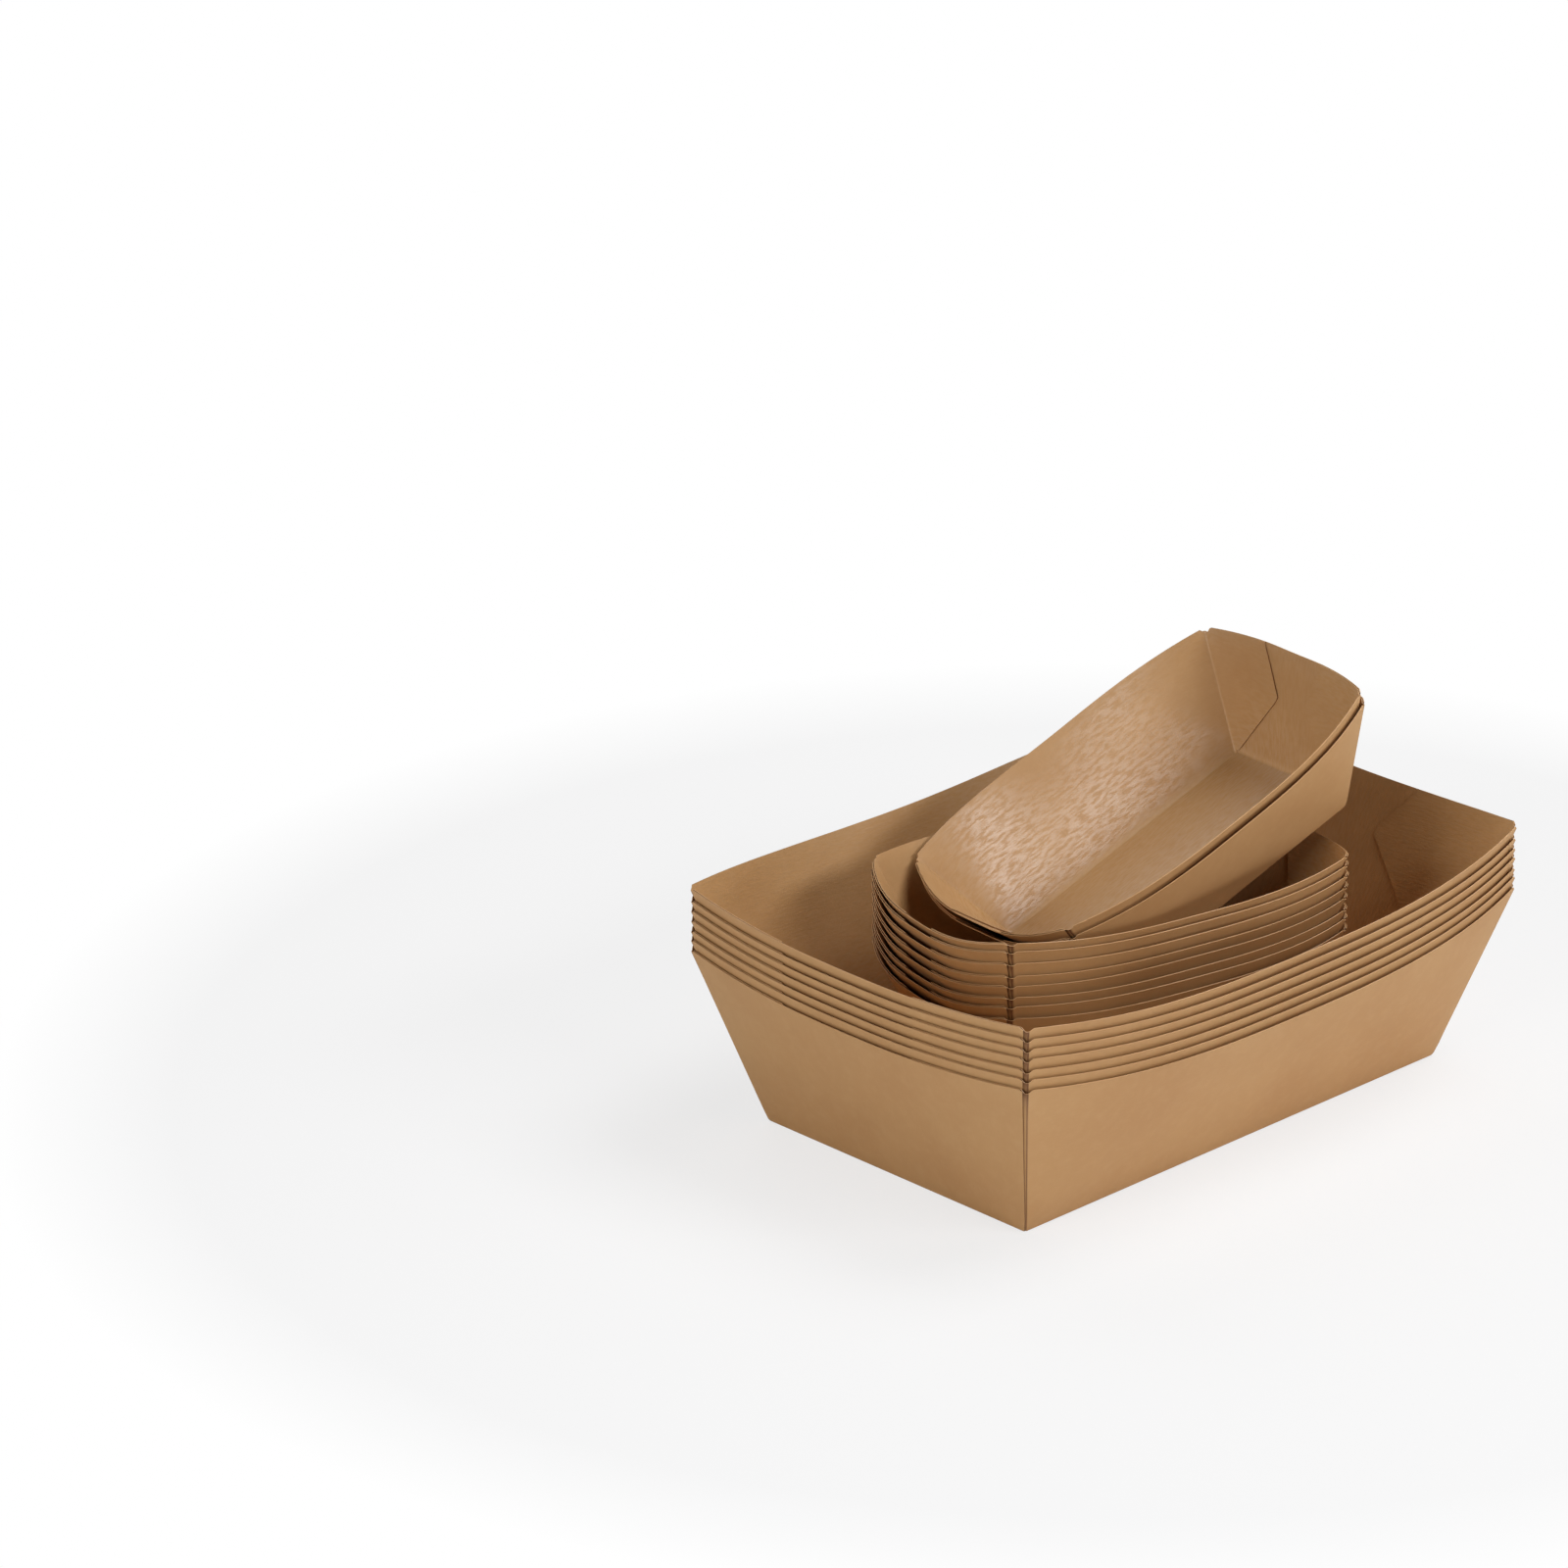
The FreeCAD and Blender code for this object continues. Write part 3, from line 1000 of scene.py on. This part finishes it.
@dataclass(frozen=True)
class Nest:
    """Trays of one kind that stand in each other, and where the lowest one stands."""

    name: str
    nodes: tuple[str, ...]
    sizes: TraySizes
    wear: float
    seed: float
    place: tuple[float, float, float] = (0.0, 0.0, 0.0)
    turn: tuple[float, float, float] = (0.0, 0.0, 0.0)
    warp: float = 0.12

    def matrix(self) -> Matrix:
        """The place of the lowest tray, with its turns about Z, Y and X in degrees."""
        yaw, pitch, roll = (math.radians(turn) for turn in self.turn)
        turned = Matrix.Rotation(yaw, 4, "Z") @ Matrix.Rotation(pitch, 4, "Y")
        turned = turned @ Matrix.Rotation(roll, 4, "X")
        return Matrix.Translation(Vector(self.place) * MM) @ turned

    def lifts(self, frame: dict[str, Any]) -> list[float]:
        """How far up its own base each tray of the nest stands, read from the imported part."""
        back = self.matrix().inverted()
        solids = (frame["nodes"][node].data for node in self.nodes)
        return [min((back @ vertex.co).z for vertex in solid.vertices) for solid in solids]

    def build(self, frame: dict[str, Any], finish: bpy.types.Material) -> bpy.types.Object:
        """Makes the nest in its place and shows it for its trays.

        Args:
            frame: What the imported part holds.
            finish: The board's material.

        Returns:
            The nest.
        """
        scene = bpy.context.scene.collection.objects
        tray = bpy.data.objects.new(f"{self.name}_tray", FoldedTray(self.sizes).mesh(self.name))
        tray.data.materials.append(finish)
        spots = bpy.data.meshes.new(f"{self.name}_places")
        spots.from_pydata([(0, 0, lift) for lift in self.lifts(frame)], [], [])
        places = bpy.data.objects.new(f"{self.name}_places", spots)
        scene.link(tray)
        scene.link(places)
        values = {"Wear": self.wear * MM, "Warp": self.warp * MM, "Seed": self.seed}
        mesh = NestTree(tray, finish).apply(places, values)
        mesh.transform(self.matrix())
        for helper in (tray, places):
            bpy.data.objects.remove(helper)
        nest = bpy.data.objects.new(self.name, mesh)
        scene.link(nest)
        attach(nest, BODY)
        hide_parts(*self.nodes)
        LOG.info("%s: %d trays, %d faces", self.name, len(self.nodes), len(mesh.polygons))
        return nest


@dataclass(frozen=True)
class SoftBox:
    """An oblong area lamp that points at the middle of the stack."""

    kind: Light
    direction: tuple[float, float, float]
    width: float
    tall: float
    power: float
    distance: float = 1.8

    def build(self, middle: Vector) -> None:
        """Hangs the lamp."""
        data = bpy.data.lights.new(self.kind.value, "AREA")
        data.shape = "RECTANGLE"
        data.size, data.size_y = self.width, self.tall
        data.energy = self.power
        lamp = bpy.data.objects.new(self.kind.value, data)
        bpy.context.scene.collection.objects.link(lamp)
        away = Vector(self.direction).normalized()
        lamp.location = middle + away * self.distance
        lamp.rotation_mode = "QUATERNION"
        lamp.rotation_quaternion = away.to_track_quat("Z", "Y")


@dataclass(frozen=True)
class Studio:
    """A pale floor, a white surround, soft lamps that point at the middle, and the camera."""

    lamps: tuple[SoftBox, ...]
    middle: tuple[float, float, float] = (0.0, 0.0, 0.04)
    surround: float = 0.02
    floor_half: float = 12.0
    floor_tone: Colour = linear(238, 238, 239)
    floor_white: float = 0.72
    shadow_reach: tuple[float, float] = (0.14, 0.34)
    lens: float = 225.0
    sensor: float = 36.0
    clip: tuple[float, float] = (0.1, 60.0)
    yaw: float = 44.303
    down: float = 23.211
    distance: float = 3.113151
    target: tuple[float, float, float] = (0.029694, 0.170314, 0.040)

    def build(self) -> None:
        """Sets the whole studio round the stack."""
        self._floor()
        self._world()
        self._camera()
        for lamp in self.lamps:
            lamp.build(Vector(self.middle))
        bpy.context.scene.view_settings.view_transform = "Standard"

    def _floor(self) -> None:
        """A wide pale floor that keeps the stack's shadow and is white to the camera."""
        half = self.floor_half
        mesh = bpy.data.meshes.new("floor")
        corners = [(-half, -half, 0), (half, -half, 0), (half, half, 0), (-half, half, 0)]
        mesh.from_pydata(corners, [], [(0, 1, 2, 3)])
        paint = Paint("floor_paper")
        rays = paint.node("ShaderNodeLightPath", {}, {})
        camera = Term(paint, rays.outputs["Is Camera Ray"])
        place = paint.node("ShaderNodeTexCoord", {}, {}).outputs["Object"]
        away = paint.node("ShaderNodeVectorMath", {"operation": "LENGTH"}, {0: place}).outputs[1]
        far = paint.ramp(Term(paint, away), *self.shadow_reach)
        lit = paint.node("ShaderNodeBsdfDiffuse", {}, {"Color": self.floor_tone})
        white = paint.node("ShaderNodeEmission", {}, {"Color": WHITE, "Strength": 1.0})
        both = paint.node(
            "ShaderNodeMixShader",
            {},
            {0: camera * far.at_least(self.floor_white), 1: lit.outputs[0], 2: white.outputs[0]},
        )
        paint.tree.links.new(both.outputs[0], paint.output.inputs[0])
        mesh.materials.append(paint.material)
        floor = bpy.data.objects.new("floor", mesh)
        bpy.context.scene.collection.objects.link(floor)
        floor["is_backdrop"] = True

    def _world(self) -> None:
        """A surround that is white where it is seen and softer where it lights."""
        world = bpy.data.worlds.new("surround")
        bpy.context.scene.world = world
        world.use_nodes = True
        tree = world.node_tree
        tree.nodes.clear()
        rays = tree.nodes.new("ShaderNodeLightPath")
        seen = tree.nodes.new("ShaderNodeMath")
        seen.operation = "MAXIMUM"
        strength = tree.nodes.new("ShaderNodeMix")
        strength.data_type = "FLOAT"
        strength.inputs[2].default_value = self.surround
        strength.inputs[3].default_value = 1.0
        sky = tree.nodes.new("ShaderNodeBackground")
        sky.inputs["Color"].default_value = WHITE
        output = tree.nodes.new("ShaderNodeOutputWorld")
        for source, target in (
            (rays.outputs["Is Camera Ray"], seen.inputs[0]),
            (rays.outputs["Is Transmission Ray"], seen.inputs[1]),
            (seen.outputs[0], strength.inputs[0]),
            (strength.outputs[0], sky.inputs["Strength"]),
            (sky.outputs[0], output.inputs[0]),
        ):
            tree.links.new(source, target)

    def _camera(self) -> None:
        """The camera, at the photograph's angle."""
        data = bpy.data.cameras.new("camera")
        data.lens = self.lens
        data.sensor_width = self.sensor
        camera = bpy.data.objects.new("camera", data)
        bpy.context.scene.collection.objects.link(camera)
        yaw, down = math.radians(self.yaw), math.radians(self.down)
        level = math.cos(down)
        ahead = Vector((math.sin(yaw) * level, math.cos(yaw) * level, -math.sin(down)))
        camera.location = Vector(self.target) - ahead * self.distance
        camera.rotation_mode = "QUATERNION"
        camera.rotation_quaternion = (-ahead).to_track_quat("Z", "Y")
        data.clip_start, data.clip_end = self.clip
        bpy.context.scene.camera = camera


def numbered(name: str, count: int) -> tuple[str, ...]:
    """The nodes' names of a nest, from its lowest tray up."""
    return tuple(f"{name}_{number}" for number in range(1, count + 1))


def corners() -> list[list[float]]:
    """The shown object's lowest and highest corner, as plain lists."""
    return [list(corner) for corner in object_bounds()]


def main() -> None:
    """Builds the nests and the studio."""
    logging.basicConfig(level=logging.INFO, format="%(name)s: %(message)s")
    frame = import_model()
    board = KraftBoard().material()
    nests = (
        Nest("large_nest", numbered("large_tray", 7), LARGE, wear=1.6, seed=3.0),
        Nest(
            "small_nest",
            numbered("small_tray", 8),
            SMALL,
            wear=3.2,
            seed=11.0,
            place=(-3.1, -4.5, 20.3203),
            turn=(-12.0, 0.0, 0.0),
        ),
        Nest(
            "slanting_pair",
            numbered("tilted_tray", 2),
            SLANTING,
            wear=0.5,
            seed=23.0,
            place=(25.3, -6.7, 65.3),
            turn=(-7.0, -22.8, -3.4),
        ),
    )
    for nest in nests:
        nest.build(frame, board)
    lamps = (
        SoftBox(Light.KEY, (0.12, -0.82, 0.54), width=1.2, tall=0.3, power=12.0),
        SoftBox(Light.LOW, (0.42, -0.85, 0.115), width=1.4, tall=0.3, power=8.5),
        SoftBox(Light.LEFT, (-0.95, -0.1, 0.3), width=0.8, tall=0.8, power=14.0),
        SoftBox(Light.TOP, (0.5, -0.2, 1.0), width=1.0, tall=1.0, power=15.5),
        SoftBox(Light.BACK, (0.2, 0.8, 0.9), width=1.0, tall=1.0, power=5.0),
    )
    Studio(lamps).build()


if __name__ == "__main__":
    main()
